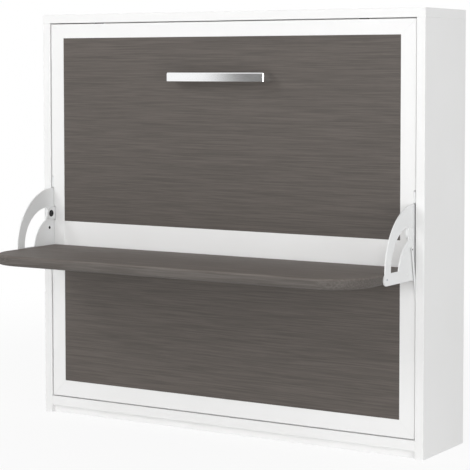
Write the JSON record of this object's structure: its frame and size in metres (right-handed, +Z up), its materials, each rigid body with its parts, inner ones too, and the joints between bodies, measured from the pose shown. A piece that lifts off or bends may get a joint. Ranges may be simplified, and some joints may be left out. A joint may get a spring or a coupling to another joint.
{
  "type": "wall bed with fold down desk",
  "caption": "Sideways wall bed in a white cabinet with grey wood panels; a wide desk on quarter-round side plates stays level and goes under the bed as it opens.",
  "frame": {"origin": "on the floor, at the wall plane, in the middle of the cabinet's width", "axes": "+X along the cabinet's width, +Y towards the wall (the room is at -Y), +Z up from the floor"},
  "size_m": [2.01, 0.934, 1.9],
  "materials": {
    "white_lacquer": "satin",
    "grey_wood": "matte",
    "grey_wood_desk": "satin",
    "polished_chrome": "polished",
    "white_steel": "satin",
    "grey_steel": "satin",
    "zinc_steel": "satin",
    "black_steel": "gloss",
    "pale_birch": "satin",
    "black_plastic": "matte",
    "black_rubber": "matte",
    "mattress_cloth": "matte"
  },
  "bodies": {
    "cabinet": {"side_panel_left": "white_lacquer", "side_panel_right": "white_lacquer", "top_panel": "white_lacquer", "base_fascia": "white_lacquer", "bottom_panel": "white_lacquer", "plinth": "white_lacquer", "rear_rail_bottom": "white_lacquer", "rear_rail_middle": "white_lacquer", "rear_rail_top": "white_lacquer", "wall_fixing_plates": "zinc_steel", "hinge_plate_left": "zinc_steel", "hinge_plate_right": "zinc_steel", "bed_pivot_pins": "zinc_steel", "rod_pins_lower": "zinc_steel", "strut_studs": "zinc_steel", "stop_buffers": "black_rubber", "notch_fillers": "white_steel"},
    "bed": {"face_stile_left": "white_lacquer", "face_stile_right": "white_lacquer", "face_rail_top": "white_lacquer", "face_rail_bottom": "white_lacquer", "face_rail_middle": "white_lacquer", "lower_panel": "grey_wood", "upper_panel": "grey_wood", "handle": "polished_chrome", "handle_screws": "zinc_steel", "frame_side_left": "grey_steel", "frame_side_right": "grey_steel", "frame_top_tube": "grey_steel", "frame_bottom_tube": "grey_steel", "frame_cross_tubes": "grey_steel", "slats": "pale_birch", "slat_holders": "black_plastic", "mattress": "mattress_cloth", "mattress_stops": "grey_steel", "bed_bracket_left": "grey_steel", "bed_bracket_right": "grey_steel", "desk_ear_left": "white_steel", "desk_ear_right": "white_steel", "desk_pivot_pins": "black_steel", "desk_pivot_spacers": "white_steel", "desk_pivot_caps": "white_steel", "leg_brackets": "grey_steel", "leg_pins": "zinc_steel", "strut_brackets": "grey_steel"},
    "desk": {"desk_top": "grey_wood_desk", "desk_arm_left": "white_steel", "desk_arm_right": "white_steel", "desk_arm_screws": "zinc_steel", "rod_pins_upper": "zinc_steel"},
    "level_rod_left": {"level_rod_left": "white_steel"},
    "level_rod_right": {"level_rod_right": "white_steel"},
    "support_leg": {"leg_arm_left": "grey_steel", "leg_arm_right": "grey_steel", "leg_crossbar": "grey_steel", "leg_feet": "black_rubber"},
    "strut_cylinder_left": {"strut_cylinder_left": "black_steel"},
    "strut_cylinder_right": {"strut_cylinder_right": "black_steel"},
    "strut_rod_left": {"strut_rod_left": "zinc_steel"},
    "strut_rod_right": {"strut_rod_right": "zinc_steel"}
  },
  "joints": [
    {"name": "bed_open", "type": "hinge", "parent": "cabinet", "child": "bed", "pos_m": [0, -0.315, 0.35], "axis": [1, 0, 0], "range_deg": [0, 90]},
    {"name": "desk_level", "type": "hinge", "parent": "bed", "child": "desk", "pos_m": [0, -0.425, 0.96], "axis": [1, 0, 0], "range_deg": [-90, 0]},
    {"name": "level_rod_left_turn", "type": "hinge", "parent": "cabinet", "child": "level_rod_left", "pos_m": [-0.963, -0.317, 0.282], "axis": [1, 0, 0], "range_deg": [0, 90]},
    {"name": "level_rod_right_turn", "type": "hinge", "parent": "cabinet", "child": "level_rod_right", "pos_m": [0.963, -0.317, 0.282], "axis": [1, 0, 0], "range_deg": [0, 90]},
    {"name": "leg_swing", "type": "hinge", "parent": "bed", "child": "support_leg", "pos_m": [0, -0.28, 1.83], "axis": [1, 0, 0], "range_deg": [0, 235]},
    {"name": "strut_left_turn", "type": "hinge", "parent": "cabinet", "child": "strut_cylinder_left", "pos_m": [-0.955, -0.06, 0.8], "axis": [1, 0, 0], "range_deg": [0, 13.07]},
    {"name": "strut_left_slide", "type": "slide", "parent": "strut_cylinder_left", "child": "strut_rod_left", "axis": [0, -0.3464, -0.9381], "range_m": [-0.2545, 0]},
    {"name": "strut_right_turn", "type": "hinge", "parent": "cabinet", "child": "strut_cylinder_right", "pos_m": [0.955, -0.06, 0.8], "axis": [1, 0, 0], "range_deg": [0, 13.07]},
    {"name": "strut_right_slide", "type": "slide", "parent": "strut_cylinder_right", "child": "strut_rod_right", "axis": [0, -0.3464, -0.9381], "range_m": [-0.2545, 0]}
  ],
  "couplings": [
    {"joint": "desk_level", "follows": "bed_open", "ratio": -1},
    {"joint": "level_rod_left_turn", "follows": "bed_open", "ratio": 1},
    {"joint": "level_rod_right_turn", "follows": "bed_open", "ratio": 1},
    {"joint": "leg_swing", "follows": "bed_open", "ratio": 2.6111},
    {"joint": "strut_left_turn", "follows": "bed_open", "ratio": 0.14511},
    {"joint": "strut_left_slide", "follows": "bed_open", "m_per_rad": -0.16198},
    {"joint": "strut_right_turn", "follows": "bed_open", "ratio": 0.14511},
    {"joint": "strut_right_slide", "follows": "bed_open", "m_per_rad": -0.16198}
  ]
}
